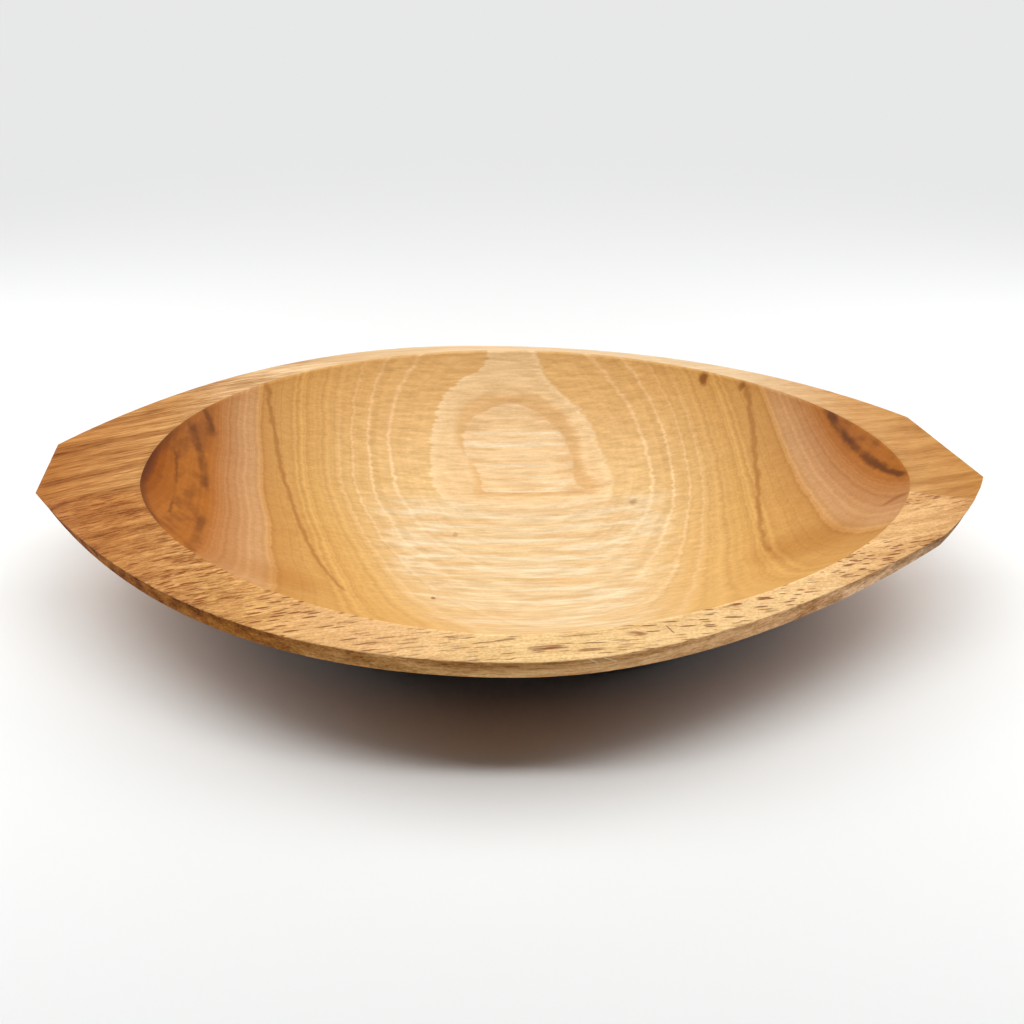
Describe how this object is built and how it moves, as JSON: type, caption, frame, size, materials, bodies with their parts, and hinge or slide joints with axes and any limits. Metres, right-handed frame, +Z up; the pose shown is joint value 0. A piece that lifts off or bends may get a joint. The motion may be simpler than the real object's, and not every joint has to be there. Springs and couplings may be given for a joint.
{
  "type": "wooden serving bowl",
  "caption": "Shallow serving bowl carved from one block of hardwood: lens-shaped outline with blunt lug ends, oval hollow, outward-sloping rim and a flat base to stand on.",
  "frame": {"origin": "middle of the flat base, on the surface that the bowl stands on", "axes": "+X along the length and the grain, to the end that is cut to a blunt point; +Y across, to the back side; +Z up, out of the hollow"},
  "size_m": [0.4, 0.234, 0.06],
  "materials": {
    "oiled_hardwood": "oiled satin hollow, rougher open-pored rim and edge"
  },
  "bodies": {
    "root": {"bowl": "oiled_hardwood"}
  },
  "joints": []
}
